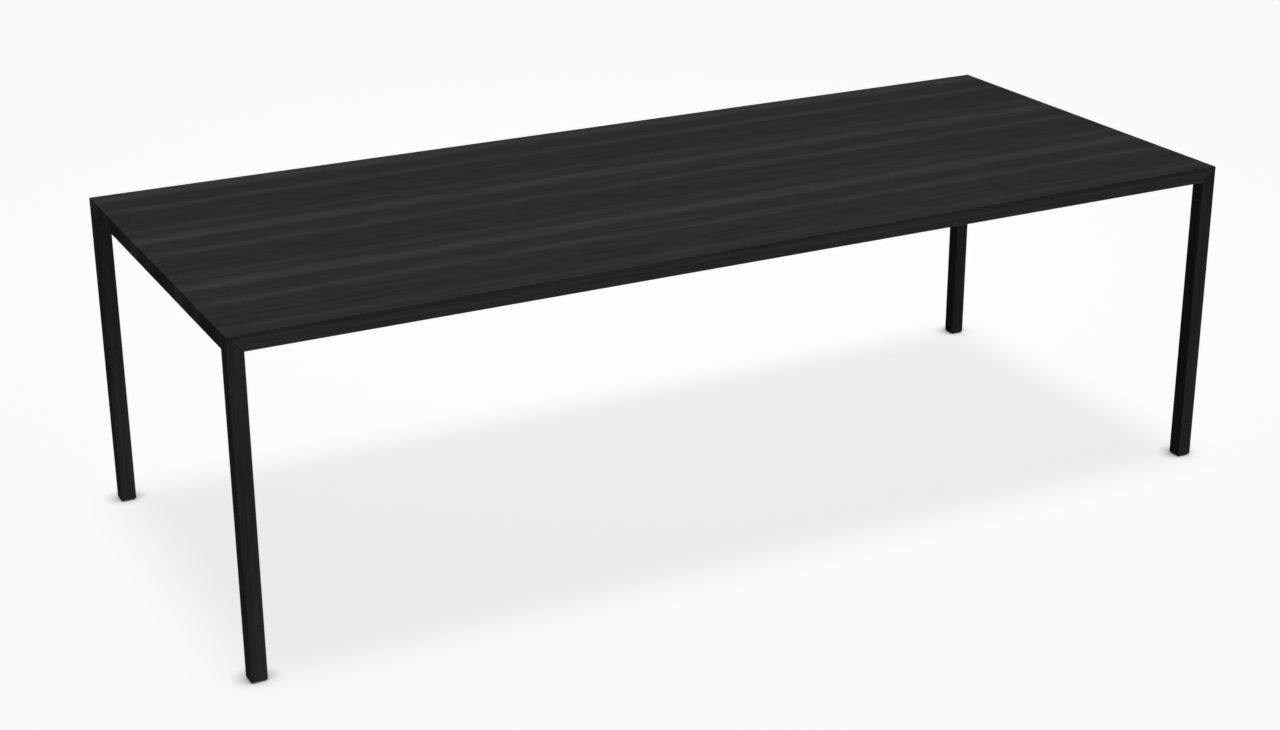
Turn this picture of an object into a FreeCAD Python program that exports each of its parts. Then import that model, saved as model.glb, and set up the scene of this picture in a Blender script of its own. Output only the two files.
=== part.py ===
import FreeCAD, Part
import math
import os
import re
import Sketcher

# A slim dining table: a welded steel frame and four bolted steel legs, all clad in thin black oak.
# Origin on the floor under the middle of the top, +X along the length, +Y to the back, +Z up, in millimetres.

Vector = FreeCAD.Vector
Placement = FreeCAD.Placement
Rotation = FreeCAD.Rotation
up = Vector(0, 0, 1)
hair = 1e-6
near_parallel = 0.999

sizes = {
    # the whole table
    "table_length": 2400,
    "table_width": 1000,
    "table_height": 740,
    "section_side": 35,
    "foot_lift": 4,
    # oak cladding and top
    "cladding": 2.5,
    "arris": 0.8,
    "mitre_ease": 0.5,
    "leaf_width": 333,
    "board_thickness": 18,
    "board_clearance": 0.5,
    "veneer_thickness": 1,
    # steel frame
    "tube_wall": 3,
    "tube_corner": 2,
    "spigot_clearance": 0.1,
    "spigot_length": 60,
    "spigot_chamfer": 2,
    "bar_width": 40,
    "bar_rise": 1,
    "bar_pitch": 600,
    "lug_length": 25,
    "lug_pitch": 250,
    # hex screws that hold the board
    "screw_radius": 2,
    "screw_key": 8,
    "screw_head_height": 3,
    "screw_cover": 5,
    "screw_pitch": 300,
    "screw_clearance": 0.5,
    # one hex key turns the leg bolts and the feet
    "hex_key": 6,
    "key_clearance": 0.5,
    # leg joint
    "bolt_radius": 4,
    "bolt_length": 35,
    "bolt_head_radius": 6.5,
    "bolt_head_height": 8,
    "bolt_key_depth": 4,
    "bolt_clearance": 0.5,
    "tapping_depth": 40,
    "leg_plug_height": 12,
    "draw_gap": 1,
    # levelling feet
    "thread_clearance": 0.05,
    "foot_plug_height": 38,
    "foot_plug_wall": 2,
    "foot_plug_chamfer": 1,
    "seat_gap": 0.3,
    "pad_inset": 2.5,
    "pad_bevel": 1,
    "pad_corner": 2,
    "pad_floor": 2.8,
    "hub_height": 17,
    "hub_headroom": 1,
    "hub_clearance": 0.4,
    "stem_radius": 4,
    "stem_top": 54,
    "stem_head_radius": 5.5,
    "stem_head_height": 4.2,
    "stem_key_depth": 3,
    "swivel_clearance": 0.1,
}

document = FreeCAD.newDocument("dining_table")
sheet = document.addObject("Spreadsheet::Sheet", "Sizes")
for row, (alias, size) in enumerate(sizes.items(), start=1):
    sheet.set(f"A{row}", alias)
    sheet.set(f"B{row}", str(size))
    sheet.setAlias(f"B{row}", alias)
document.recompute()

# Lengths that follow from the driving sizes, as expressions on the sheet
tube_start = "(section_side - cladding)"
tube_side = "(section_side - 2 * cladding)"
tube_bore = f"({tube_side} - 2 * tube_wall)"
spigot_side = f"({tube_bore} - 2 * spigot_clearance)"
leg_length = "(table_height - foot_lift)"
rail_middle = "(section_side / 2)"
spigot_end = f"({tube_start} + spigot_length)"
board_under = "(cladding + board_thickness + veneer_thickness)"
bar_under = f"({tube_start} - bar_rise)"
bar_height = f"({bar_under} - {board_under})"
screw_tip = "(cladding + screw_cover)"
leg_plug_top = f"({spigot_end} + draw_gap)"
leg_plug_under = f"({leg_plug_top} + leg_plug_height)"
recess_side = f"({spigot_side} - 2 * foot_plug_wall)"
recess_depth = "(hub_height - foot_lift + hub_headroom)"
hub_side = f"({recess_side} - 2 * hub_clearance)"
key_hole = "(hex_key / sqrt(3) + key_clearance)"
pad_side = "(section_side - 2 * pad_inset)"

alias_words = re.compile(r"\b(" + "|".join(sizes) + r")\b")
nodes = {}


def bound(expression):
    return alias_words.sub(r"Sizes.\1", expression)


def value(expression):
    return float(sheet.evalExpression(expression))


def new_body(label):
    body = document.addObject("PartDesign::Body", label)
    body.Label = label
    return body


def place(body, x, y, z, quarter_turns=0):
    body.Placement = Placement(Vector(), Rotation(up, 90 * quarter_turns))
    for axis, expression in zip("xyz", (x, y, z)):
        body.setExpression(f"Placement.Base.{axis}", bound(expression))


def new_sketch(body, name, plane, offset="0"):
    sketch = body.newObject("Sketcher::SketchObject", f"{body.Name}_{name}")
    origin_planes = [feature for feature in body.Origin.OriginFeatures if feature.Role == plane]
    sketch.AttachmentSupport = [(origin_planes[0], "")]
    sketch.MapMode = "FlatFace"
    sketch.setExpression("AttachmentOffset.Base.z", bound(offset))
    return sketch


def bind_point(sketch, geometry, point, x, y):
    for kind, expression in (("DistanceX", x), ("DistanceY", y)):
        constraint = Sketcher.Constraint(kind, -1, 1, geometry, point, value(expression))
        index = sketch.addConstraint(constraint)
        sketch.setExpression(f"Constraints[{index}]", bound(expression))


def draw_loop(sketch, corners):
    first = sketch.GeometryCount
    count = len(corners)
    spots = [Vector(value(x), value(y), 0) for x, y in corners]
    for number in range(count):
        sketch.addGeometry(Part.LineSegment(spots[number], spots[(number + 1) % count]), False)
    for number, (x, y) in enumerate(corners):
        following = first + (number + 1) % count
        sketch.addConstraint(Sketcher.Constraint("Coincident", first + number, 2, following, 1))
        bind_point(sketch, first + number, 1, x, y)


def draw_circle(sketch, x, y, radius):
    centre = Vector(value(x), value(y), 0)
    circle = sketch.addGeometry(Part.Circle(centre, up, value(radius)), False)
    bind_point(sketch, circle, 3, x, y)
    index = sketch.addConstraint(Sketcher.Constraint("Radius", circle, value(radius)))
    sketch.setExpression(f"Constraints[{index}]", bound(radius))


def square(x, y, side):
    low_x, high_x = f"{x} - {side} / 2", f"{x} + {side} / 2"
    low_y, high_y = f"{y} - {side} / 2", f"{y} + {side} / 2"
    return [(low_x, low_y), (high_x, low_y), (high_x, high_y), (low_x, high_y)]


def rectangle(low_x, low_y, high_x, high_y):
    return [(low_x, low_y), (high_x, low_y), (high_x, high_y), (low_x, high_y)]


def hexagon(key):
    # the width across the flats sets the corners
    corner = f"{key} / sqrt(3)"
    angles = [f"{60 * number} deg" for number in range(6)]
    return [(f"{corner} * cos({angle})", f"{corner} * sin({angle})") for angle in angles]


def pad(body, sketch, length, backwards=False):
    feature = body.newObject("PartDesign::Pad", f"{sketch.Name}_pad")
    feature.Profile = sketch
    feature.Reversed = backwards
    feature.setExpression("Length", bound(length))
    document.recompute()
    return feature


def pocket(body, sketch, depth=None, backwards=False):
    # a cut with no depth goes through all, and every cut has to take some material away
    before = body.Shape.Volume
    feature = body.newObject("PartDesign::Pocket", f"{sketch.Name}_pocket")
    feature.Profile = sketch
    feature.Reversed = backwards
    if depth is None:
        feature.Type = "ThroughAll"
    else:
        feature.setExpression("Length", bound(depth))
    document.recompute()
    if not body.Shape.Volume < before:
        raise RuntimeError(f"{feature.Name} cuts nothing")
    return feature


def turn_round(body, kind, sketch):
    # a full revolution, or a groove, about the upright axis of the sketch
    feature = body.newObject(f"PartDesign::{kind}", f"{sketch.Name}_turned")
    feature.Profile = sketch
    feature.ReferenceAxis = (sketch, ["V_Axis"])
    feature.Angle = 360
    document.recompute()
    return feature


def edge_names(feature, wanted):
    return [f"Edge{number}" for number, edge in enumerate(feature.Shape.Edges, start=1) if wanted(edge)]


def chamfer(body, base, wanted, size):
    # a flat taken off the edges of the base feature that answer the test
    feature = body.newObject("PartDesign::Chamfer", f"{base.Name}_chamfer")
    feature.Base = (base, edge_names(base, wanted))
    feature.setExpression("Size", bound(size))
    document.recompute()
    return feature


def along(edge, axis):
    start, end = (vertex.Point for vertex in edge.Vertexes)
    return abs((end - start).normalize().dot(axis)) > near_parallel


def keep(body):
    nodes[body.Label] = body


# Corners and sides of the table, counted in quarter turns from the front left corner and the front side
corner_names = ["front_left", "front_right", "rear_right", "rear_left"]
side_names = ["front", "right", "rear", "left"]
corner_signs = [(-1, -1), (1, -1), (1, 1), (-1, 1)]
side_lengths = ["table_length", "table_width", "table_length", "table_width"]


def put_in_corner(body, turn):
    sign_x, sign_y = corner_signs[turn]
    place(body, f"{sign_x} * table_length / 2", f"{sign_y} * table_width / 2", "table_height", turn)


def leg_axis(turn):
    sign_x, sign_y = corner_signs[turn]
    return f"{sign_x} * (table_length / 2 - {rail_middle})", f"{sign_y} * (table_width / 2 - {rail_middle})"


def put_on_leg_axis(body, turn):
    place(body, *leg_axis(turn), "table_height")


# In the frame of a corner or a side, x runs along the side from the corner, y goes in from the outer face
# and z goes up from the top. The cladding meets on the planes where two of the distances from the end,
# the face and the top are equal, so a leaf, two edge strips and two leg strips come together in one point
# at each corner.


def both_ends(length):
    # how a distance in from the end of a side is written at its start and at its far end
    return [lambda inset: inset, lambda inset: f"{length} - {inset}"]


def leg_strip(label, turn, facing, top):
    body = new_body(label)
    profile = new_sketch(body, "profile", "XY_Plane", f"-{leg_length}")
    draw_loop(profile, [
        ("arris", "0"),
        ("section_side - arris", "0"),
        ("section_side - arris / 2", "arris / 2"),
        (tube_start, "cladding"),
        ("cladding", "cladding"),
        ("arris / 2", "arris / 2"),
    ])
    strip_top = tube_start if top == "under_rail" else "0"
    pad(body, profile, f"{leg_length} - {strip_top}")
    if top == "under_rail":
        # the inner strips are bevelled against the bottom strips
        bevel = new_sketch(body, "bevel", "YZ_Plane")
        draw_loop(bevel, [("0", "-section_side"), ("cladding", f"-{tube_start}"), ("0", f"-{tube_start}")])
        pocket(body, bevel, backwards=True)
    else:
        # the outer strips are mitred against the edge strips, high at the outer corner of the table
        high, low = ("0", "section_side") if top == "high_at_start" else ("section_side", "0")
        mitre = new_sketch(body, "mitre", "XZ_Plane")
        draw_loop(mitre, [(high, "0"), (low, "0"), (low, "-section_side")])
        cut = pocket(body, mitre)
        ease_mitre(body, cut)
    x, y = leg_axis(turn)
    sign_x, sign_y = corner_signs[facing]
    place(body, f"{x} + {sign_x} * {rail_middle}", f"{y} + {sign_y} * {rail_middle}", "table_height", facing)
    keep(body)


def ease_mitre(body, cut):
    # the outer edge of each mitre cut is eased, which leaves a fine groove where two strips meet
    def on_outer_mitre(edge):
        start, end = (vertex.Point for vertex in edge.Vertexes)
        on_face = abs(start.y) < hair and abs(end.y) < hair
        slope = end - start
        at_45_degrees = abs(abs(slope.x) - abs(slope.z)) < hair
        return on_face and at_45_degrees and slope.Length > value("section_side") / 2

    chamfer(body, cut, on_outer_mitre, "mitre_ease")


def edge_strip(turn):
    body = new_body(f"{side_names[turn]}_edge_strip")
    length = side_lengths[turn]
    profile = new_sketch(body, "profile", "YZ_Plane")
    draw_loop(profile, [
        ("0", "-arris"),
        ("0", "arris - section_side"),
        ("arris / 2", "arris / 2 - section_side"),
        ("cladding", f"-{tube_start}"),
        ("cladding", "-cladding"),
        ("arris / 2", "-arris / 2"),
    ])
    pad(body, profile, length)
    mitre = new_sketch(body, "mitre", "XZ_Plane")
    for at in both_ends(length):
        draw_loop(mitre, [(at("0"), "0"), (at("section_side"), "-section_side"), (at("0"), "-section_side")])
    cut = pocket(body, mitre)
    ease_mitre(body, cut)
    put_in_corner(body, turn)
    keep(body)


def bottom_strip(turn):
    body = new_body(f"{side_names[turn]}_bottom_strip")
    length = side_lengths[turn]
    profile = new_sketch(body, "profile", "YZ_Plane")
    draw_loop(profile, [
        ("arris", "-section_side"),
        ("arris / 2", "arris / 2 - section_side"),
        ("cladding", f"-{tube_start}"),
        ("section_side", f"-{tube_start}"),
        ("section_side", "arris - section_side"),
        ("section_side - arris", "-section_side"),
    ])
    pad(body, profile, length)
    # the ends are bevelled against the inner strips of the legs
    bevel = new_sketch(body, "bevel", "XZ_Plane")
    for at in both_ends(length):
        draw_loop(bevel, [
            (at("0"), f"-{tube_start}"),
            (at(tube_start), f"-{tube_start}"),
            (at("section_side"), "-section_side"),
            (at("0"), "-section_side"),
        ])
    pocket(body, bevel)
    # and mitred against the next bottom strip where they meet over the leg's inner corner
    mitre = new_sketch(body, "mitre", "XY_Plane")
    for at in both_ends(length):
        draw_loop(mitre, [
            (at(tube_start), tube_start),
            (at("section_side"), "section_side"),
            (at(tube_start), "section_side"),
        ])
    pocket(body, mitre)
    put_in_corner(body, turn)
    keep(body)


def top_leaf(label, turn, beside_edge):
    # the outer leaves are bevelled against the long edge strips, and all of them against the short ones
    body = new_body(label)
    profile = new_sketch(body, "profile", "YZ_Plane")
    if beside_edge:
        near_side = [("cladding", "-cladding"), ("arris / 2", "-arris / 2"), ("arris", "0")]
        far = "leaf_width"
    else:
        # the middle leaf fills what the outer two leave
        near_side = [("leaf_width", "-cladding"), ("leaf_width", "0")]
        far = "table_width - leaf_width"
    draw_loop(profile, near_side + [(far, "0"), (far, "-cladding")])
    pad(body, profile, "table_length")
    bevel = new_sketch(body, "bevel", "XZ_Plane")
    for at in both_ends("table_length"):
        draw_loop(bevel, [
            (at("0"), "0"),
            (at("arris"), "0"),
            (at("arris / 2"), "-arris / 2"),
            (at("cladding"), "-cladding"),
            (at("0"), "-cladding"),
        ])
    pocket(body, bevel)
    put_in_corner(body, turn)
    keep(body)


def square_tube(body, plane, centre, start, length):
    profile = new_sketch(body, "profile", plane, start)
    draw_loop(profile, square(*centre, tube_side))
    draw_loop(profile, square(*centre, tube_bore))
    tube = pad(body, profile, length)
    axis = Vector(1, 0, 0) if plane == "YZ_Plane" else up
    reach = value(f"({tube_side} + {tube_bore}) / 4") * math.sqrt(2)
    middle = tube.Shape.BoundBox.Center

    def on_outer_corner(edge):
        away = edge.Vertexes[0].Point - middle
        away = away - axis * away.dot(axis)
        return along(edge, axis) and away.Length > reach

    chamfer(body, tube, on_outer_corner, "tube_corner")
    keep(body)


def rail_tube(turn):
    body = new_body(f"{side_names[turn]}_rail_tube")
    length = f"{side_lengths[turn]} - 2 * {tube_start}"
    square_tube(body, "YZ_Plane", (rail_middle, f"-{rail_middle}"), tube_start, length)
    put_in_corner(body, turn)


def leg_tube(turn):
    body = new_body(f"{corner_names[turn]}_leg_tube")
    length = f"{leg_length} - {tube_start}"
    square_tube(body, "XY_Plane", (rail_middle, rail_middle), f"-{leg_length}", length)
    put_in_corner(body, turn)


def corner_block(turn):
    # a cube in line with the tubes, with a spigot into each rail and one down into the leg
    body = new_body(f"{corner_names[turn]}_corner_block")
    cube = new_sketch(body, "cube", "XY_Plane", f"-{tube_start}")
    draw_loop(cube, square(rail_middle, rail_middle, tube_side))
    pad(body, cube, tube_side)
    long_spigot = new_sketch(body, "along", "YZ_Plane", tube_start)
    draw_loop(long_spigot, square(rail_middle, f"-{rail_middle}", spigot_side))
    pad(body, long_spigot, "spigot_length")
    cross_spigot = new_sketch(body, "across", "XZ_Plane", f"-{tube_start}")
    draw_loop(cross_spigot, square(rail_middle, f"-{rail_middle}", spigot_side))
    pad(body, cross_spigot, "spigot_length", backwards=True)
    leg_spigot = new_sketch(body, "down", "XY_Plane", f"-{tube_start}")
    draw_loop(leg_spigot, square(rail_middle, rail_middle, spigot_side))
    solid = pad(body, leg_spigot, "spigot_length", backwards=True)
    reach = value(spigot_end)

    def on_spigot_end(edge):
        ends = [vertex.Point for vertex in edge.Vertexes]
        return any(all(abs(abs(point[axis]) - reach) < hair for point in ends) for axis in range(3))

    chamfer(body, solid, on_spigot_end, "spigot_chamfer")
    tapping = new_sketch(body, "tapping", "XY_Plane", f"-{spigot_end}")
    draw_circle(tapping, rail_middle, rail_middle, "bolt_radius + thread_clearance")
    pocket(body, tapping, "tapping_depth", backwards=True)
    put_in_corner(body, turn)
    keep(body)


# Cross bars and lugs under the board, and the screws that go up through them
bar_shifts = {"left": "-bar_pitch", "centre": "0", "right": "bar_pitch"}
rail_inside = f"(table_width / 2 - {tube_start})"
end_inside = f"(table_length / 2 - {tube_start})"
lug_places = [(f"{end} * {end_inside}", f"{side} * lug_pitch", end) for end in (-1, 1) for side in (-1, 1)]
screw_places = [(shift, f"{side} * screw_pitch", 0) for shift in bar_shifts.values() for side in (-1, 1)]
screw_places += [(f"{x} - {end} * lug_length / 2", y, 0) for x, y, end in lug_places]


def core_sheet(label, top, thickness):
    # a sheet that fills the frame between the rails
    body = new_body(label)
    outline = new_sketch(body, "outline", "XY_Plane", f"-({top} + {thickness})")
    inner_x = f"({end_inside} - board_clearance)"
    inner_y = f"({rail_inside} - board_clearance)"
    draw_loop(outline, rectangle(f"-{inner_x}", f"-{inner_y}", inner_x, inner_y))
    pad(body, outline, thickness)
    place(body, "0", "0", "table_height")
    keep(body)


def flat_bar(body, low_x, low_y, high_x, high_y, screws):
    # flat steel under the board, with a clear hole for each screw
    outline = new_sketch(body, "outline", "XY_Plane", f"-{bar_under}")
    draw_loop(outline, rectangle(low_x, low_y, high_x, high_y))
    for x, y in screws:
        draw_circle(outline, x, y, "screw_radius + screw_clearance")
    pad(body, outline, bar_height)


def cross_bar(name, shift):
    body = new_body(f"cross_bar_{name}")
    screws = [("0", "-screw_pitch"), ("0", "screw_pitch")]
    flat_bar(body, "-bar_width / 2", f"-{rail_inside}", "bar_width / 2", rail_inside, screws)
    place(body, shift, "0", "table_height")
    keep(body)


def group(label, pattern, places):
    # identical pieces in one node, each a solid of its own
    solids = []
    for x, y, degrees in places:
        solid = pattern.Shape.copy()
        solid.Placement = Placement(Vector(value(x), value(y), value("table_height")), Rotation(up, degrees))
        solids.append(solid)
    members = document.addObject("Part::Feature", label)
    members.Label = label
    members.Shape = Part.makeCompound(solids)
    members.Placement = Placement()
    nodes[label] = members


def fixing_lug():
    # a short end of the same flat bar, welded to the inside of an end rail
    body = new_body("fixing_lug_pattern")
    flat_bar(body, "0", "-bar_width / 2", "lug_length", "bar_width / 2", [("lug_length / 2", "0")])
    return body


def top_screw():
    body = new_body("top_screw_pattern")
    head = new_sketch(body, "head", "XY_Plane", f"-{bar_under}")
    draw_loop(head, hexagon("screw_key"))
    pad(body, head, "screw_head_height", backwards=True)
    shank = new_sketch(body, "shank", "XY_Plane", f"-{bar_under}")
    draw_circle(shank, "0", "0", "screw_radius")
    pad(body, shank, f"{bar_under} - {screw_tip}")
    return body


def leg_bolt():
    # a socket bolt that is turned from the leg's open end
    body = new_body("leg_bolt_pattern")
    head = new_sketch(body, "head", "XY_Plane", f"-{leg_plug_under}")
    draw_circle(head, "0", "0", "bolt_head_radius")
    pad(body, head, "bolt_head_height", backwards=True)
    shank = new_sketch(body, "shank", "XY_Plane", f"-{leg_plug_under}")
    draw_circle(shank, "0", "0", "bolt_radius")
    pad(body, shank, "bolt_length")
    key = new_sketch(body, "key", "XY_Plane", f"-({leg_plug_under} + bolt_head_height)")
    draw_loop(key, hexagon("hex_key"))
    pocket(body, key, "bolt_key_depth", backwards=True)
    return body


def leg_plug():
    # the plate welded into the leg's tube that the bolt draws up to the spigot
    body = new_body("leg_top_plug_pattern")
    plate = new_sketch(body, "plate", "XY_Plane", f"-{leg_plug_under}")
    draw_loop(plate, square("0", "0", tube_bore))
    draw_circle(plate, "0", "0", "bolt_radius + bolt_clearance")
    pad(body, plate, "leg_plug_height")
    return body


def foot_plug():
    # the block in the leg's end: a square recess that guides the pad's hub and a tapped bore for the stem
    body = new_body("foot_plug_pattern")
    block = new_sketch(body, "block", "XY_Plane", f"-{leg_length}")
    draw_loop(block, square("0", "0", spigot_side))
    draw_circle(block, "0", "0", "stem_radius + thread_clearance")
    solid = pad(body, block, "foot_plug_height")
    top = value(f"foot_plug_height - {leg_length}")

    def on_top_rim(edge):
        return len(edge.Vertexes) == 2 and all(abs(vertex.Point.z - top) < hair for vertex in edge.Vertexes)

    chamfer(body, solid, on_top_rim, "foot_plug_chamfer")
    recess = new_sketch(body, "recess", "XY_Plane", f"-{leg_length}")
    draw_loop(recess, square("0", "0", recess_side))
    pocket(body, recess, recess_depth, backwards=True)
    return body


def foot_pad(turn):
    # the nylon foot: a square flange on the floor and a hub that traps the head of the stem
    body = new_body(f"{corner_names[turn]}_foot_pad")
    floor = "-table_height"
    flange = new_sketch(body, "flange", "XY_Plane", floor)
    draw_loop(flange, square("0", "0", pad_side))
    slab = pad(body, flange, "foot_lift - seat_gap")
    corners = chamfer(body, slab, lambda edge: along(edge, up), "pad_corner")
    under = value(floor)

    def on_floor(edge):
        return all(abs(vertex.Point.z - under) < hair for vertex in edge.Vertexes)

    chamfer(body, corners, on_floor, "pad_bevel")
    hub = new_sketch(body, "hub", "XY_Plane", f"{floor} + foot_lift - seat_gap")
    draw_loop(hub, square("0", "0", hub_side))
    pad(body, hub, "hub_height - foot_lift + seat_gap")
    neck = "stem_radius + swivel_clearance"
    socket = "stem_head_radius + swivel_clearance"
    socket_top = f"{floor} + pad_floor + stem_head_height + 2 * swivel_clearance"
    hollow = new_sketch(body, "hollow", "XZ_Plane")
    draw_loop(hollow, [
        ("0", floor),
        (key_hole, floor),
        (key_hole, f"{floor} + pad_floor"),
        (socket, f"{floor} + pad_floor"),
        (socket, socket_top),
        (neck, socket_top),
        (neck, f"{floor} + hub_height"),
        ("0", f"{floor} + hub_height"),
    ])
    turn_round(body, "Groove", hollow)
    put_on_leg_axis(body, turn)
    keep(body)


def foot_stem(turn):
    # the threaded stem, turned by a key through the pad
    body = new_body(f"{corner_names[turn]}_foot_stem")
    head_under = "-table_height + pad_floor + swivel_clearance"
    head_top = f"{head_under} + stem_head_height"
    profile = new_sketch(body, "profile", "XZ_Plane")
    draw_loop(profile, [
        ("0", head_under),
        ("stem_head_radius", head_under),
        ("stem_head_radius", head_top),
        ("stem_radius", head_top),
        ("stem_radius", "stem_top - table_height"),
        ("0", "stem_top - table_height"),
    ])
    turn_round(body, "Revolution", profile)
    key = new_sketch(body, "key", "XY_Plane", head_under)
    draw_loop(key, hexagon("hex_key"))
    pocket(body, key, "stem_key_depth", backwards=True)
    put_on_leg_axis(body, turn)
    keep(body)


# Oak cladding
top_leaf("top_leaf_front", 0, beside_edge=True)
top_leaf("top_leaf_middle", 0, beside_edge=False)
top_leaf("top_leaf_rear", 2, beside_edge=True)
for turn in range(4):
    edge_strip(turn)
    bottom_strip(turn)
for turn, corner in enumerate(corner_names):
    strip_tops = ["high_at_start", "under_rail", "under_rail", "high_at_end"]
    for step, top in enumerate(strip_tops):
        facing = (turn + step) % 4
        leg_strip(f"{corner}_leg_{side_names[facing]}_strip", turn, facing, top)

# Steel frame and legs
for turn in range(4):
    rail_tube(turn)
    corner_block(turn)
    leg_tube(turn)

# Core of the top and what holds it
core_sheet("core_board", "cladding", "board_thickness")
core_sheet("balancing_veneer", "(cladding + board_thickness)", "veneer_thickness")
for name, shift in bar_shifts.items():
    cross_bar(name, shift)
group("fixing_lugs", fixing_lug(), [(x, y, 0 if end < 0 else 180) for x, y, end in lug_places])
group("top_screws", top_screw(), screw_places)

# Leg joints and feet
leg_places = [(*leg_axis(turn), 0) for turn in range(4)]
group("leg_top_plugs", leg_plug(), leg_places)
group("leg_bolts", leg_bolt(), leg_places)
group("foot_plugs", foot_plug(), leg_places)
for turn in range(4):
    foot_pad(turn)
    foot_stem(turn)

document.recompute()
for item in document.Objects:
    if "Invalid" in item.State or "Error" in item.State:
        raise RuntimeError(f"{item.Label} failed: {item.State}")
for label, item in nodes.items():
    if item.Shape.isNull() or not item.Shape.isValid():
        raise RuntimeError(f"{label} has no valid shape")

os.makedirs("parts", exist_ok=True)
for label, item in nodes.items():
    item.Shape.exportStep(f"parts/{label}.step")
print(f"{len(nodes)} nodes written")
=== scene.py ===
import bmesh
import bpy
import math
from mathutils import Matrix, Vector


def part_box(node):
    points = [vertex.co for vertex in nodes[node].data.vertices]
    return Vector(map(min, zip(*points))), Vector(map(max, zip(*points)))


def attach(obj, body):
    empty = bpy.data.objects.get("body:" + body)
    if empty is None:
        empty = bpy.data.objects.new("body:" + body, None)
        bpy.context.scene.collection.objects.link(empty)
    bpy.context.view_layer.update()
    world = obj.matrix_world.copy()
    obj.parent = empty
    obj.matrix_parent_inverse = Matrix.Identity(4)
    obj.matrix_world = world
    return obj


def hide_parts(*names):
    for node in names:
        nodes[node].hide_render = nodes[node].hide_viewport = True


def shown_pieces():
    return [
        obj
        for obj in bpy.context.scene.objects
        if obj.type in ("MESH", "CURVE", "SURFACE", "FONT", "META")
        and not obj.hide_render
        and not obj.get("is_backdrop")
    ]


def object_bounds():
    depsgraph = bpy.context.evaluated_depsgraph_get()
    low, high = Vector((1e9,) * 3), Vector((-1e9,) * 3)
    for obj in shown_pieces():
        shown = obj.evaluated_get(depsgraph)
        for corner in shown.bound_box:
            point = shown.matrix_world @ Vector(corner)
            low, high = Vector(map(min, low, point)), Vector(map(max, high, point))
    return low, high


# A slim dining table in black stained oak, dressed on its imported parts. Metres, +X along the length, +Z up.
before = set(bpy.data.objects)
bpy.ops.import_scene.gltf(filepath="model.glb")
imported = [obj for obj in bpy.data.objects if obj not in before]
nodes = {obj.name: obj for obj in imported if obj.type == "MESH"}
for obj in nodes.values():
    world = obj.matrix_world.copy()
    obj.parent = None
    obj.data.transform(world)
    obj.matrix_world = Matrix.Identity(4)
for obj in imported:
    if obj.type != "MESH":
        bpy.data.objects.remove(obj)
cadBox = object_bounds()
mm = 0.001
tableLow, tableHigh = cadBox
sides = ("front", "right", "rear", "left")
corners = ("front_left", "front_right", "rear_right", "rear_left")
print("frame:", len(nodes), "nodes, box", [round(v, 3) for v in tableHigh - tableLow])


# Small helpers
def linear(hexColour):
    parts = [int(hexColour[i:i + 2], 16) / 255 for i in (1, 3, 5)]
    return [p / 12.92 if p <= 0.04045 else ((p + 0.055) / 1.055) ** 2.4 for p in parts] + [1.0]


def addNode(tree, kind, links=None, **settings):
    # a link goes to a socket's name or number, from a value, an output, or a node by its first output
    # (a map range counts its sockets: value, from low, from high, to low, to high)
    node = tree.nodes.new("ShaderNode" + kind)
    for name, setting in settings.items():
        setattr(node, name, setting)
    for socket, source in (links or {}).items():
        if isinstance(source, bpy.types.Node):
            source = source.outputs[0]
        if isinstance(source, bpy.types.NodeSocket):
            tree.links.new(source, node.inputs[socket])
        else:
            node.inputs[socket].default_value = source
    return node


def emptyTree(owner):
    owner.use_nodes = True
    owner.node_tree.nodes.clear()
    return owner.node_tree


def newMaterial(name):
    material = bpy.data.materials.new(name)
    tree = emptyTree(material)
    shader = addNode(tree, "BsdfPrincipled")
    addNode(tree, "OutputMaterial", {"Surface": shader})
    place = addNode(tree, "TexCoord").outputs["Object"]
    return material, tree, shader, place


def coat(tree, shader, colour, roughness, bump):
    for socket, source in {"Base Color": colour, "Roughness": roughness, "Normal": bump}.items():
        tree.links.new(source, shader.inputs[socket])


def wear(material, *names):
    for name in names:
        mesh = nodes[name].data
        mesh.materials.clear()
        mesh.materials.append(material)


# Black stained oak: open grained veneer, brushed, stained black and lacquered matt.
# The eye gets long fibres, short dark pores along them and soft lighter streaks where the stain took less.
leafWidth = (tableHigh.y - tableLow.y) / 3
oakFinish = {
    "dark": "#161616",
    "plain": "#2a2a2a",
    "pale": "#474747",
    "pore": "#121212",
    "plainTone": 0.36,          # where plain lies between dark and pale
    "roughness": (0.58, 0.74),
    "ior": 1.5,
    "specular": 0.12,
    "relief": 0.09,             # mm
    "bump": 0.6,
    "fibreLift": 0.5,           # how far fibres stand up, as a share of a pore's depth
    # noise drawn out along the grain: length and width in mm, then detail
    "fibres": (190, 2.4, 3),
    "mottle": (75, 15, 2),
    "pores": (17, 0.8, 1),      # about twice the real pores, so that they show from a step away
    "wander": (380, 200, 2),    # how the streaks swing from side to side
    "patches": (170, 30, 3),    # where the streaks fade
    "blots": (110, 9, 2),       # where the darker band under the top edge breaks up
    "noiseRoughness": 0.6,
    # the stretch of a noise that counts, and the least that it leaves
    "poreLimits": (0.6, 0.7, 0),
    "streakLimits": (0.36, 0.6, 0.5),
    "blotLimits": (0.4, 0.62, 0.6),
    "sheenLimits": (0.3, 0.7),
    "swing": 22 * mm,           # from one side to the other
    "drift": 4 * mm,            # how far the figure moves on from leaf to leaf
    "leafStep": 0.01,           # how much paler each leaf is than the one behind it
    "seam": 2.6 * mm,           # how far the stain spread from a mitre
}
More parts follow.
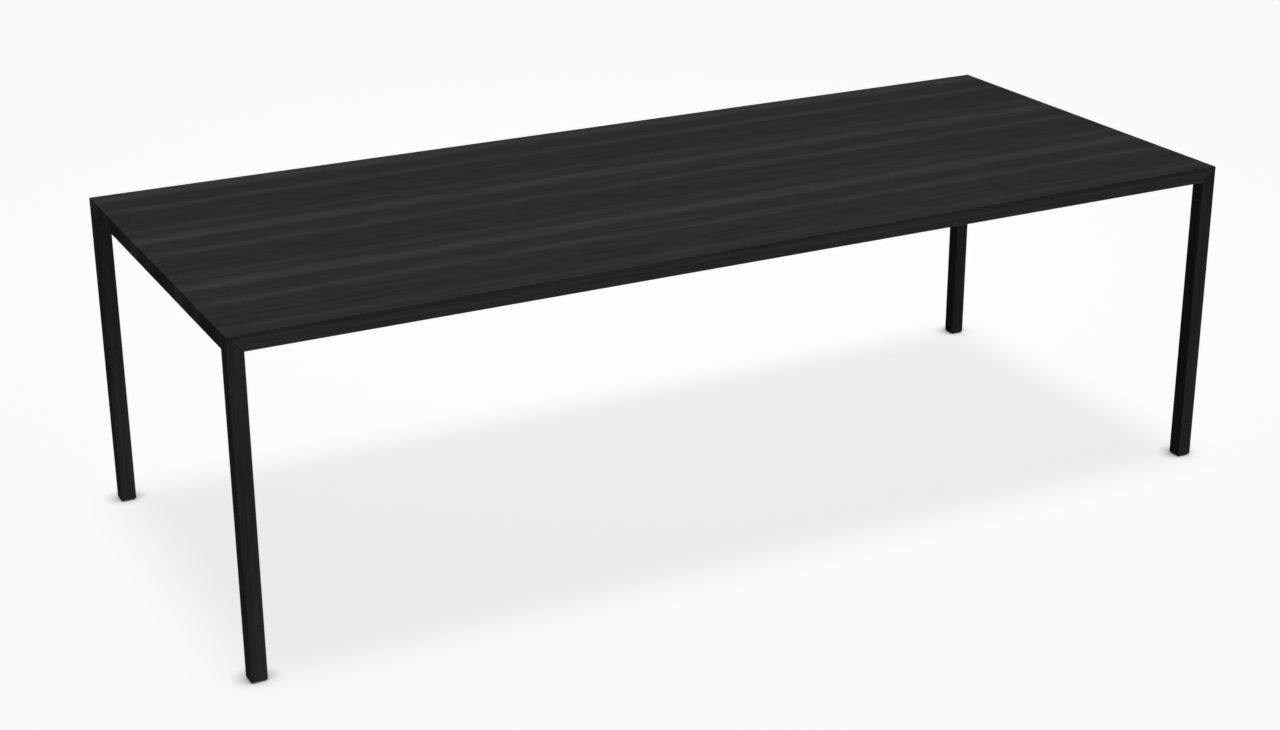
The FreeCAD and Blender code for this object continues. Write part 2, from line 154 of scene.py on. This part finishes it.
oakCuts = {
    # streaks are the distance from the leaf's rear edge and the half width, in mm, and the strength
    "leaf": {"tone": 0.321, "bands": (900, 16, 2), "bandShare": 0.24, "fibreShare": 0.32,
             "mottleShare": 0.36, "streaks": [(33, 43, 0.39), (137, 27, 0.33), (297, 40, 0.17)]},
    "endEdge": {"tone": 0.168, "bands": (240, 26, 2), "bandShare": 0.5, "fibreShare": 0.4,
                "mottleShare": 0.3, "seamShare": 0.2,
                "streaks": [(28, 58, 0.5), (137, 26, 0.55), (189, 14, -0.27), (238, 18, -0.18),
                            (300, 40, 0.1)]},
    # a rim is a darker band just below the top edge: full as far down as its core, fading out at its depth
    "longEdge": {"turn": 0, "tone": 0.356, "bands": (420, 9, 2), "bandShare": 0.6, "fibreShare": 0.3,
                 "mottleShare": 0.2, "seamShare": 0.2,
                 "rim": {"core": 5.5 * mm, "depth": 11 * mm, "share": 0.2}},
    # the backing veneer under the board: broad plain figure, less carefully picked
    "backing": {"turn": 0, "tone": 0.27, "bands": (1500, 34, 3), "bandShare": 1.1, "fibreShare": 0.5,
                "mottleShare": 0.4},
    "leg": {"turn": 90, "bands": (520, 11, 2), "bandShare": 0.6, "fibreShare": 0.32,
            "mottleShare": 0.2, "seamShare": 0.2},
}
# the legs come from four boards, which took the stain a little differently
legTones = {"front_left": 0.22, "front_right": 0.09, "rear_right": 0.03, "rear_left": 0.22}


def leafFigure(tree, axes, drop):
    # slip matched leaves: the same figure in each third of the width, which runs on down the ends
    fromRear = addNode(tree, "Math", {0: tableHigh.y, 1: axes.outputs[1]}, operation="SUBTRACT")
    thirds = addNode(tree, "Math", {0: fromRear, 1: leafWidth}, operation="DIVIDE")
    share = addNode(tree, "Math", {0: thirds}, operation="FRACT")
    inLeaf = addNode(tree, "Math", {0: share, 1: leafWidth}, operation="MULTIPLY")
    leaf = addNode(tree, "Math", {0: thirds}, operation="FLOOR")
    drift = addNode(tree, "Math", {0: leaf, 1: oakFinish["drift"]}, operation="MULTIPLY")
    end = addNode(tree, "Math", {0: axes.outputs[0]}, operation="SIGN")
    along = addNode(tree, "Math", {0: end, 1: drop, 2: axes.outputs[0]}, operation="MULTIPLY_ADD")
    grainLine = addNode(tree, "CombineXYZ", {0: along, 1: inLeaf, 2: drift})
    return grainLine, inLeaf, leaf


def drawGrain(tree, cut, grainLine):
    # every noise that the cut needs, drawn out along the grain
    wanted = ["bands", "fibres", "mottle", "pores"]
    if "streaks" in cut:
        wanted += ["wander", "patches"]
    if "rim" in cut:
        wanted += ["blots"]
    drawn = {}
    for pattern in wanted:
        length, width, detail = cut.get(pattern) or oakFinish[pattern]
        scale = (1 / (length * mm), 1 / (width * mm), 1 / (width * mm))
        spread = addNode(tree, "Mapping", {0: grainLine, "Scale": scale})
        drawn[pattern] = addNode(tree, "TexNoise", {"Vector": spread, "Scale": 1, "Detail": detail,
                                                    "Roughness": oakFinish["noiseRoughness"]})
    return drawn


def addStreaks(tree, tone, cut, drawn, inLeaf, leaf):
    # soft streaks that swing along the leaf and fade here and there
    swing = oakFinish["swing"]
    swung = addNode(tree, "Math", {0: drawn["wander"], 1: swing, 2: inLeaf}, operation="MULTIPLY_ADD")
    low, high, least = oakFinish["streakLimits"]
    fade = addNode(tree, "MapRange", {0: drawn["patches"], 1: low, 2: high, 3: least})
    tone = addNode(tree, "Math", {0: leaf, 1: oakFinish["leafStep"], 2: tone}, operation="MULTIPLY_ADD")
    for middle, half, strength in cut["streaks"]:
        offset = addNode(tree, "Math", {0: swung, 1: middle * mm + swing / 2}, operation="SUBTRACT")
        away = addNode(tree, "Math", {0: offset}, operation="ABSOLUTE")
        inside = addNode(tree, "MapRange", {0: away, 1: half * mm, 2: 0.0}, interpolation_type="SMOOTHSTEP")
        light = addNode(tree, "Math", {0: inside, 1: fade}, operation="MULTIPLY")
        tone = addNode(tree, "Math", {0: light, 1: strength, 2: tone}, operation="MULTIPLY_ADD")
    return tone


def addRim(tree, tone, cut, drawn, drop):
    # a darker band just below the top edge, broken up along its length
    rim = cut["rim"]
    under = addNode(tree, "MapRange", {0: drop, 1: rim["depth"], 2: rim["core"]},
                    interpolation_type="SMOOTHSTEP")
    low, high, least = oakFinish["blotLimits"]
    patchiness = addNode(tree, "MapRange", {0: drawn["blots"], 1: low, 2: high, 3: least})
    darkBand = addNode(tree, "Math", {0: under, 1: patchiness}, operation="MULTIPLY")
    return addNode(tree, "Math", {0: darkBand, 1: -rim["share"], 2: tone}, operation="MULTIPLY_ADD")


def addSeams(tree, tone, cut, axes, drop):
    # a mitre lies where a point is as far in from the table's end as it is below the top
    for axis, edge in ((0, tableHigh.x), (1, tableHigh.y)):
        out = addNode(tree, "Math", {0: axes.outputs[axis]}, operation="ABSOLUTE")
        inset = addNode(tree, "Math", {0: edge, 1: out}, operation="SUBTRACT")
        offset = addNode(tree, "Math", {0: inset, 1: drop}, operation="SUBTRACT")
        away = addNode(tree, "Math", {0: offset}, operation="ABSOLUTE")
        seam = addNode(tree, "MapRange", {0: away, 1: oakFinish["seam"], 2: 0.0})
        tone = addNode(tree, "Math", {0: seam, 1: -cut["seamShare"], 2: tone}, operation="MULTIPLY_ADD")
    return tone


def stainedOak(name, cut):
    material, tree, shader, place = newMaterial(name)
    axes = addNode(tree, "SeparateXYZ", {0: place})
    drop = addNode(tree, "Math", {0: tableHigh.z, 1: axes.outputs[2]}, operation="SUBTRACT")
    if "streaks" in cut:
        grainLine, inLeaf, leaf = leafFigure(tree, axes, drop)
    else:
        grainLine = addNode(tree, "Mapping", {0: place, "Rotation": (0, math.radians(cut["turn"]), 0)})
    drawn = drawGrain(tree, cut, grainLine)

    tone = cut["tone"] - (cut["bandShare"] + cut["fibreShare"] + cut["mottleShare"]) / 2
    for pattern, share in (("bands", "bandShare"), ("fibres", "fibreShare"), ("mottle", "mottleShare")):
        tone = addNode(tree, "Math", {0: drawn[pattern], 1: cut[share], 2: tone}, operation="MULTIPLY_ADD")
    if "streaks" in cut:
        tone = addStreaks(tree, tone, cut, drawn, inLeaf, leaf)
    if "rim" in cut:
        tone = addRim(tree, tone, cut, drawn, drop)
    if "seamShare" in cut:
        tone = addSeams(tree, tone, cut, axes, drop)
    ramp = addNode(tree, "ValToRGB", {0: tone})
    ramp.color_ramp.elements[0].color = linear(oakFinish["dark"])
    ramp.color_ramp.elements[1].color = linear(oakFinish["pale"])
    ramp.color_ramp.elements.new(oakFinish["plainTone"]).color = linear(oakFinish["plain"])

    low, high, least = oakFinish["poreLimits"]
    pores = addNode(tree, "MapRange", {0: drawn["pores"], 1: low, 2: high, 3: least})
    colour = addNode(tree, "Mix", {0: pores, 6: ramp, 7: linear(oakFinish["pore"])}, data_type="RGBA")
    smooth, rough = oakFinish["roughness"]
    low, high = oakFinish["sheenLimits"]
    sheen = addNode(tree, "MapRange", {0: drawn["fibres"], 1: low, 2: high, 3: rough, 4: smooth})
    lift = addNode(tree, "Math", {0: drawn["fibres"], 1: oakFinish["fibreLift"]}, operation="MULTIPLY")
    height = addNode(tree, "Math", {0: lift, 1: pores}, operation="SUBTRACT")
    bump = addNode(tree, "Bump", {"Strength": oakFinish["bump"], "Distance": oakFinish["relief"] * mm,
                                  "Height": height})
    coat(tree, shader, colour.outputs[2], sheen.outputs[0], bump.outputs[0])
    shader.inputs["IOR"].default_value = oakFinish["ior"]
    shader.inputs["Specular IOR Level"].default_value = oakFinish["specular"]
    return material


wear(stainedOak("blackStainedOakLeaf", oakCuts["leaf"]), "top_leaf_front", "top_leaf_middle", "top_leaf_rear")
wear(stainedOak("blackStainedOakLongEdge", oakCuts["longEdge"]), "front_edge_strip", "rear_edge_strip",
     *[side + "_bottom_strip" for side in sides])
wear(stainedOak("blackStainedOakEndEdge", oakCuts["endEdge"]), "left_edge_strip", "right_edge_strip")
wear(stainedOak("blackStainedOakBacking", oakCuts["backing"]), "balancing_veneer")
for corner, tone in legTones.items():
    board = stainedOak("blackStainedOakLeg_" + corner, {**oakCuts["leg"], "tone": tone})
    wear(board, *[f"{corner}_leg_{side}_strip" for side in sides])
print("oak: leaves, edges, backing and four legs")


# Plain materials of the hidden and underside pieces: two colours, the width and depth of the grain in mm, how
# many times as long it is along the table, and the roughness where it is dark and where it is light
grainNoise = {"detail": 4, "roughness": 0.6, "limits": (0.3, 0.7), "bump": 0.5}
plainFinishes = {
    # a baked satin skin with a fine orange peel
    "powderCoatedSteel": {"colours": ("#141416", "#1d1d20"), "grain": 1.6, "relief": 0.05, "stretch": 1,
                          "roughness": (0.42, 0.55), "metallic": 0.0},
    # bright, faintly blue and cloudy
    "zincPlatedSteel": {"colours": ("#a9adb4", "#c9ccd0"), "grain": 5, "relief": 0.01, "stretch": 1,
                        "roughness": (0.26, 0.42), "metallic": 1.0},
    # moulded in a spark eroded tool, matt with a fine grit
    "mouldedNylon": {"colours": ("#131314", "#1c1c1e"), "grain": 0.7, "relief": 0.04, "stretch": 1,
                     "roughness": (0.5, 0.68), "metallic": 0.0},
    # rotary cut, pale with a long soft figure
    "birchPlywood": {"colours": ("#a98558", "#c9a97b"), "grain": 9, "relief": 0.03, "stretch": 14,
                     "roughness": (0.6, 0.75), "metallic": 0.0},
}


def plainMaterial(name):
    finish = plainFinishes[name]
    material, tree, shader, place = newMaterial(name)
    scale = 1 / (finish["grain"] * mm)
    spread = addNode(tree, "Mapping", {0: place, "Scale": (scale / finish["stretch"], scale, scale)})
    noise = addNode(tree, "TexNoise", {"Vector": spread, "Scale": 1, "Detail": grainNoise["detail"],
                                       "Roughness": grainNoise["roughness"]})
    low, high = grainNoise["limits"]
    share = addNode(tree, "MapRange", {0: noise, 1: low, 2: high})
    dark, light = [linear(colour) for colour in finish["colours"]]
    colour = addNode(tree, "Mix", {0: share, 6: dark, 7: light}, data_type="RGBA")
    smooth, rough = finish["roughness"]
    sheen = addNode(tree, "MapRange", {0: noise, 1: low, 2: high, 3: smooth, 4: rough})
    bump = addNode(tree, "Bump", {"Strength": grainNoise["bump"], "Distance": finish["relief"] * mm,
                                  "Height": noise})
    coat(tree, shader, colour.outputs[2], sheen.outputs[0], bump.outputs[0])
    shader.inputs["Metallic"].default_value = finish["metallic"]
    return material


powderCoat, zincPlate, nylon, plywood = [plainMaterial(name) for name in plainFinishes]
crossBars = ("cross_bar_left", "cross_bar_centre", "cross_bar_right")
footPads = [corner + "_foot_pad" for corner in corners]
wear(powderCoat, *crossBars, "fixing_lugs", "leg_top_plugs", *[side + "_rail_tube" for side in sides],
     *[corner + "_leg_tube" for corner in corners], *[corner + "_corner_block" for corner in corners])
wear(nylon, "foot_plugs", *footPads)
wear(plywood, "core_board")
print("steel, zinc, nylon and board: done")


# Eased edges on the underside steel and the moulded pads
easedEdges = {"steel": 0.8 * mm, "nylon": 0.5 * mm, "segments": 2, "merge": 0.01 * mm,
              "flat": math.radians(1), "sharp": math.radians(40)}


def easeEdges(width, *names):
    for name in names:
        stack = nodes[name].modifiers
        stack.new("merge", "WELD").merge_threshold = easedEdges["merge"]
        flatten = stack.new("flatten", "DECIMATE")
        flatten.decimate_type = "DISSOLVE"
        flatten.angle_limit = easedEdges["flat"]
        ease = stack.new("ease", "BEVEL")
        ease.width = width
        ease.segments = easedEdges["segments"]
        ease.limit_method = "ANGLE"
        ease.angle_limit = easedEdges["sharp"]
        stack.new("flats", "WEIGHTED_NORMAL")


easeEdges(easedEdges["steel"], *crossBars)
easeEdges(easedEdges["nylon"], *footPads)


def settled(bm):
    # operators leave new edges and faces in no fixed order: a fresh copy, sorted by their lowest vertices
    bm.verts.index_update()
    count = len(bm.verts)

    def rank(item):
        lowest = sorted(vert.index for vert in item.verts)[:3]
        return sum(index * count ** (2 - place) for place, index in enumerate(lowest))

    bm.edges.sort(key=rank)
    bm.faces.sort(key=rank)
    copied = bm.copy()
    bm.free()
    return copied


def makePiece(name, bm, material, body, slot, *replaced):
    bmesh.ops.recalc_face_normals(bm, faces=bm.faces)
    bm = settled(bm)
    for face in bm.faces:
        face.smooth = True
    mesh = bpy.data.meshes.new(name)
    bm.to_mesh(mesh)
    bm.free()
    mesh.set_sharp_from_angle(angle=easedEdges["sharp"])
    mesh.materials.append(material)
    piece = bpy.data.objects.new(name, mesh)
    bpy.context.scene.collection.objects.link(piece)
    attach(piece, body)
    if replaced:
        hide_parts(*replaced)
    return piece


# Threaded fasteners. Heights are in mm above the head's underside, and a hex ring's radius is half its key.
roundSteps = 24
# where the root ends and the crest lies, as shares of a pitch. The spin starts a lead of turns below the
# thread and makes some to spare, which are cut away.
threadForm = {"rootEnd": 0.25, "crest": (0.56, 0.69), "lead": 1.01, "spare": 2}
levellingStem = {
    "root": 3.32, "crest": 4, "pitch": 1.25, "thread": (15.2, 50.3),
    "head": [("round", 4, 14.7), ("round", 4, 4.2), ("round", 5.2, 4.2), ("round", 5.5, 3.9),
             ("round", 5.5, 0.4), ("round", 5.1, 0), ("hex", 3.1, 0), ("hex", 3, 0.2), ("hex", 3, 3),
             ("round", 1, 3.5)],
    "tip": [("round", 3.1, 51.1)],
}
legBolt = {
    "root": 3.32, "crest": 4, "pitch": 1.25, "thread": (14, 42),
    "head": [("round", 4, 13.4), ("round", 4, 8.4), ("round", 4.4, 8), ("round", 6.2, 8), ("round", 6.5, 7.6),
             ("round", 6.5, 0.7), ("round", 5.8, 0), ("hex", 3.1, 0), ("hex", 3, 0.2), ("hex", 3, 4),
             ("round", 1, 4.6)],
    "tip": [("round", 3.1, 43)],
}
boardScrew = {
    "root": 1.35, "crest": 2, "pitch": 1.8, "thread": (12.5, 24.5),
    "head": [("round", 1.6, 12), ("round", 1.6, 3.4), ("round", 2, 3), ("hex", 4, 3), ("hex", 4, 0.45),
             ("round", 3.8, 0), ("round", 2.7, 0), ("round", 2.4, 0.25)],
    "tip": [("round", 1.1, 25.6), ("round", 0.15, 27)],
}


def growRim(bm, rim):
    # a wall drawn out of an open rim: the vertices and edges of the new rim, not yet moved
    grown = bmesh.ops.extrude_edge_only(bm, edges=rim)["geom"]
    fresh = {item for item in grown if isinstance(item, bmesh.types.BMVert)}
    edges = [item for item in grown if isinstance(item, bmesh.types.BMEdge) and fresh.issuperset(item.verts)]
    return fresh, edges


def growRings(bm, rim, rings):
    for outline, radius, height in rings:
        fresh, rim = growRim(bm, rim)
        for vert in fresh:
            angle = math.atan2(vert.co.y, vert.co.x)
            reach = radius / math.cos(angle % (math.pi / 3) - math.pi / 6) if outline == "hex" else radius
            vert.co = Vector((math.cos(angle) * reach, math.sin(angle) * reach, height)) * mm
    bmesh.ops.edgeloop_fill(bm, edges=rim)


def turnFastener(sizes):
    # one pitch of the thread's outline, spun up with its rise, merged, cut square, closed by its head and tip
    bm = bmesh.new()
    pitch = sizes["pitch"]
    low, high = sizes["thread"]
    start = low - threadForm["lead"] * pitch
    crestStart, crestEnd = threadForm["crest"]
    outline = ((sizes["root"], 0), (sizes["root"], threadForm["rootEnd"]), (sizes["crest"], crestStart),
               (sizes["crest"], crestEnd), (sizes["root"], 1))
    points = [bm.verts.new((radius * mm, 0, (start + share * pitch) * mm)) for radius, share in outline]
    lines = [bm.edges.new(pair) for pair in zip(points, points[1:])]
    turns = math.ceil((high - low) / pitch) + threadForm["spare"]
    bmesh.ops.spin(bm, geom=points + lines, axis=(0, 0, 1), dvec=(0, 0, pitch * mm / roundSteps),
                   angle=math.tau * turns, steps=roundSteps * turns)
    bmesh.ops.remove_doubles(bm, verts=bm.verts, dist=easedEdges["merge"])
    for height, way in ((low, -1), (high, 1)):
        bm = settled(bm)
        bmesh.ops.bisect_plane(bm, geom=bm.verts[:] + bm.edges[:] + bm.faces[:], plane_co=(0, 0, height * mm),
                               plane_no=(0, 0, way), clear_outer=True)
    bm = settled(bm)
    openEdges = [edge for edge in bm.edges if edge.is_boundary]
    middle = (low + high) / 2 * mm
    growRings(bm, [edge for edge in openEdges if edge.verts[0].co.z < middle], sizes["head"])
    growRings(bm, [edge for edge in openEdges if edge.verts[0].co.z > middle], sizes["tip"])
    return bm


def setAt(bm, places):
    # one copy at each place, the first of them the fastener itself
    model = bm.verts[:] + bm.edges[:] + bm.faces[:]
    copies = [model]
    while len(copies) < len(places):
        copies.append(bmesh.ops.duplicate(bm, geom=model)["geom"])
    for place, copied in zip(places, copies):
        verts = [item for item in copied if isinstance(item, bmesh.types.BMVert)]
        bmesh.ops.translate(bm, vec=place, verts=verts)
    return bm


def middleOf(node):
    low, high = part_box(node)
    return (low + high) / 2


for corner in corners:
    node = corner + "_foot_stem"
    axis = middleOf(node)
    bm = setAt(turnFastener(levellingStem), [Vector((axis.x, axis.y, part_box(node)[0].z))])
    makePiece(corner + "_levelling_stem", bm, zincPlate, corner + "_screw", "zinc_steel", node)

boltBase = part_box("leg_bolts")[0].z
legAxes = [middleOf(corner + "_leg_tube") for corner in corners]
bm = setAt(turnFastener(legBolt), [Vector((axis.x, axis.y, boltBase)) for axis in legAxes])
makePiece("leg_socket_bolts", bm, zincPlate, "table", "zinc_steel", "leg_bolts")

# the screws' own box ends at the flats of the bars' heads across, and at the points of the lugs' heads along
screwLow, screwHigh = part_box("top_screws")
lugLow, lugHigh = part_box("fixing_lugs")
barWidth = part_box("cross_bar_left")[1].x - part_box("cross_bar_left")[0].x
headFlat = max(radius for outline, radius, height in boardScrew["head"]) * mm
onBars = screwHigh.y - headFlat
onLugs = Vector((screwHigh.x - headFlat / math.cos(math.pi / 6), lugHigh.y - barWidth / 2))
screwSpots = [(middleOf(bar).x, way * onBars) for bar in crossBars for way in (-1, 1)]
screwSpots += [(endWay * onLugs.x, way * onLugs.y) for endWay in (-1, 1) for way in (-1, 1)]
bm = setAt(turnFastener(boardScrew), [Vector((x, y, screwLow.z)) for x, y in screwSpots])
makePiece("board_screws", bm, zincPlate, "table", "zinc_steel", "top_screws")
print("fasteners: four stems, four bolts and", len(screwSpots), "screws")

# Weld beads up the corners where bars and lugs meet the frame: the leg of the fillet and the length of a
# ripple in mm, then the crown, the dips and the ends as shares of the leg
weldBead = {"leg": 3.2, "crown": 0.64, "ripple": 1.25, "dip": 0.86, "end": 0.6}


def layBead(bm, root, outward, sideways, top):
    # a fillet between the bar's side and the tube, grown upwards a ripple at a time
    leg = weldBead["leg"] * mm
    outline = [root, root + outward * leg, root + (outward + sideways) * leg * weldBead["crown"],
               root + sideways * leg]
    foot = bm.faces.new([bm.verts.new(point) for point in outline])
    pivot = Matrix.Translation(-root)
    bmesh.ops.scale(bm, vec=(weldBead["end"],) * 3, space=pivot, verts=foot.verts)
    ripples = round((top - root.z) / (weldBead["ripple"] * mm))
    rise = (top - root.z) / (2 * ripples)
    sizes = [weldBead["end"]] + [1, weldBead["dip"]] * (ripples - 1) + [1, weldBead["end"]]
    rim = foot.edges[:]
    for before, after in zip(sizes, sizes[1:]):
        fresh, rim = growRim(bm, rim)
        bmesh.ops.scale(bm, vec=(after / before, after / before, 1), space=pivot, verts=list(fresh))
        bmesh.ops.translate(bm, vec=(0, 0, rise), verts=list(fresh))
    bmesh.ops.edgeloop_fill(bm, edges=rim)


bm = bmesh.new()
for bar in crossBars:
    low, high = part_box(bar)
    for rail, outward in ((low.y, 1), (high.y, -1)):
        for edge, sideways in ((low.x, -1), (high.x, 1)):
            root = Vector((edge, rail, low.z))
            layBead(bm, root, Vector((0, outward, 0)), Vector((sideways, 0, 0)), high.z)
for endWay in (-1, 1):
    for way in (-1, 1):
        for sideways in (-1, 1):
            root = Vector((endWay * lugHigh.x, way * onLugs.y + sideways * barWidth / 2, lugLow.z))
            layBead(bm, root, Vector((-endWay, 0, 0)), Vector((0, sideways, 0)), lugHigh.z)
makePiece("frame_welds", bm, powderCoat, "table", "frame_steel")
print("welds: done")

# Stage: a white ground, its overhead shadow, and soft light that falls on the table alone
stageSizes = {
    "floor": 60.0,              # metres across
    "paint": "#f3f3f3",
    "glow": 0.797,
    # a soft painted pool of light behind the table, in metres: its middle, its reach, and how much it adds
    "paintedPool": {"at": (0.83, 1.58, 0), "reach": 3.1, "rise": 0.0385},
    # painted shade beside a foot, darkened into the ground's glow: its darkest share, its reach in metres,
    # the lean that clears the front, and the stretch of openness that it covers
    "contact": {"darkest": 0.14, "reach": 0.039, "lean": (0, -0.5, 0.87), "limits": (0.35, 1.0),
                "samples": 16},
    # the room's own light on the table, and the white that the camera sees past the ground
    "sky": "#ffffff",
    "room": 0.03,
    "white": 0.95,
    # broad soft suns: where each stands, how wide it looks in degrees, and its strength
    "floorSun": {"from": (0, 0, 1), "angle": 16, "strength": 0.451},
    "overhead": {"from": (0, 0, 1), "angle": 30, "strength": 2.78},
    "below": {"from": (0.3, -0.4, -1), "angle": 50, "strength": 1.6},
    "underside": {"from": (0, 0, -1), "angle": 60, "strength": 2.2},
    "front": {"from": (0.35, -1, 0.16), "angle": 40, "strength": 1.09},
    "right": {"from": (1, 0.6, 0), "angle": 30, "strength": 1.3},
    "rear": {"from": (-0.35, 1, 0.16), "angle": 40, "strength": 1.09},
    "left": {"from": (-1, -0.6, 0), "angle": 30, "strength": 1.15},
}


def makeFloor():
    bm = bmesh.new()
    bmesh.ops.create_grid(bm, x_segments=1, y_segments=1, size=stageSizes["floor"] / 2)
    mesh = bpy.data.meshes.new("floor")
    bm.to_mesh(mesh)
    bm.free()
    floor = bpy.data.objects.new("floor", mesh)
    bpy.context.scene.collection.objects.link(floor)
    floor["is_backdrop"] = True
    # the ground throws no light back at the table
    floor.visible_diffuse = False
    floor.visible_glossy = False
    floor.visible_shadow = False
    # matt white paint that glows a little, so that it stays white to the edges of the view
    material = bpy.data.materials.new("paleGround")
    tree = emptyTree(material)
    # painted shade: the ground's glow dims beside the feet, where little open sky is left
    contact = stageSizes["contact"]
    lean = addNode(tree, "CombineXYZ", dict(enumerate(contact["lean"])))
    openness = addNode(tree, "AmbientOcclusion", {"Distance": contact["reach"], "Normal": lean},
                       samples=contact["samples"])
    low, high = contact["limits"]
    paintedFootShade = addNode(tree, "MapRange", {0: openness.outputs["AO"], 1: low, 2: high, 3: contact["darkest"]})
    # a pool of light painted into the ground's glow, brightest behind the table
    paintedPool = stageSizes["paintedPool"]
    place = addNode(tree, "TexCoord").outputs["Object"]
    away = addNode(tree, "VectorMath", {0: place, 1: paintedPool["at"]}, operation="DISTANCE").outputs["Value"]
    dim = stageSizes["glow"]
    bright = dim + paintedPool["rise"]
    ground = addNode(tree, "MapRange", {0: away, 1: paintedPool["reach"], 2: 0.0, 3: dim, 4: bright},
                     interpolation_type="SMOOTHSTEP")
    level = addNode(tree, "Math", {0: ground, 1: paintedFootShade}, operation="MULTIPLY")
    glow = addNode(tree, "Emission", {"Strength": level})
    skin = addNode(tree, "BsdfDiffuse", {"Color": linear(stageSizes["paint"])})
    both = addNode(tree, "AddShader", {0: glow, 1: skin})
    under = addNode(tree, "NewGeometry").outputs["Backfacing"]
    clear = addNode(tree, "BsdfTransparent")
    seen = addNode(tree, "MixShader", {0: under, 1: both, 2: clear})
    addNode(tree, "OutputMaterial", {"Surface": seen})
    mesh.materials.append(material)
    return floor


def makeSun(name, receivers):
    sun = stageSizes[name]
    lamp = bpy.data.lights.new(name, "SUN")
    lamp.energy = sun["strength"]
    lamp.angle = math.radians(sun["angle"])
    light = bpy.data.objects.new(name, lamp)
    light.location = sun["from"]
    light.rotation_euler = Vector(sun["from"]).to_track_quat("Z", "Y").to_euler()
    lit = bpy.data.collections.new(name + "Lit")
    for item in receivers:
        lit.objects.link(item)
    light.light_linking.receiver_collection = lit
    bpy.context.scene.collection.objects.link(light)


floor = makeFloor()
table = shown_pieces()
makeSun("floorSun", [floor])
makeSun("overhead", table)
makeSun("below", table)
litFromSides = []
for side in sides:
    # a side's sun falls on the oak that faces it, and on the pads
    facing = (side + "_strip", side + "_edge_strip", "_foot_pad")
    lit = [piece for piece in table if piece.name.endswith(facing)]
    makeSun(side, lit)
    litFromSides += lit
makeSun("underside", [piece for piece in table if piece not in litFromSides])

world = bpy.data.worlds.new("studio")
bpy.context.scene.world = world
worldTree = emptyTree(world)
seenDirect = addNode(worldTree, "LightPath").outputs["Is Camera Ray"]
level = addNode(worldTree, "MapRange", {0: seenDirect, 3: stageSizes["room"], 4: stageSizes["white"]})
sky = addNode(worldTree, "Background", {"Color": linear(stageSizes["sky"]), "Strength": level})
addNode(worldTree, "OutputWorld", {"Surface": sky})
bpy.context.scene.view_settings.view_transform = "Standard"
print("stage: ground and eight suns")

# Camera, from the fit of the table's edges in the photograph, in metres, degrees and mm
cameraFit = {"at": (-2.2887, -4.2949, 2.2135), "yaw": 28.0449, "pitch": 20.7302, "lens": 62.088,
             "shift": (-0.0195, -0.0261), "sensor": 36}
camera = bpy.data.cameras.new("camera")
camera.lens = cameraFit["lens"]
camera.sensor_width = cameraFit["sensor"]
camera.shift_x, camera.shift_y = cameraFit["shift"]
viewer = bpy.data.objects.new("camera", camera)
viewer.location = cameraFit["at"]
viewer.rotation_euler = (math.radians(90 - cameraFit["pitch"]), 0, -math.radians(cameraFit["yaw"]))
bpy.context.scene.collection.objects.link(viewer)
bpy.context.scene.camera = viewer
print("camera: placed")
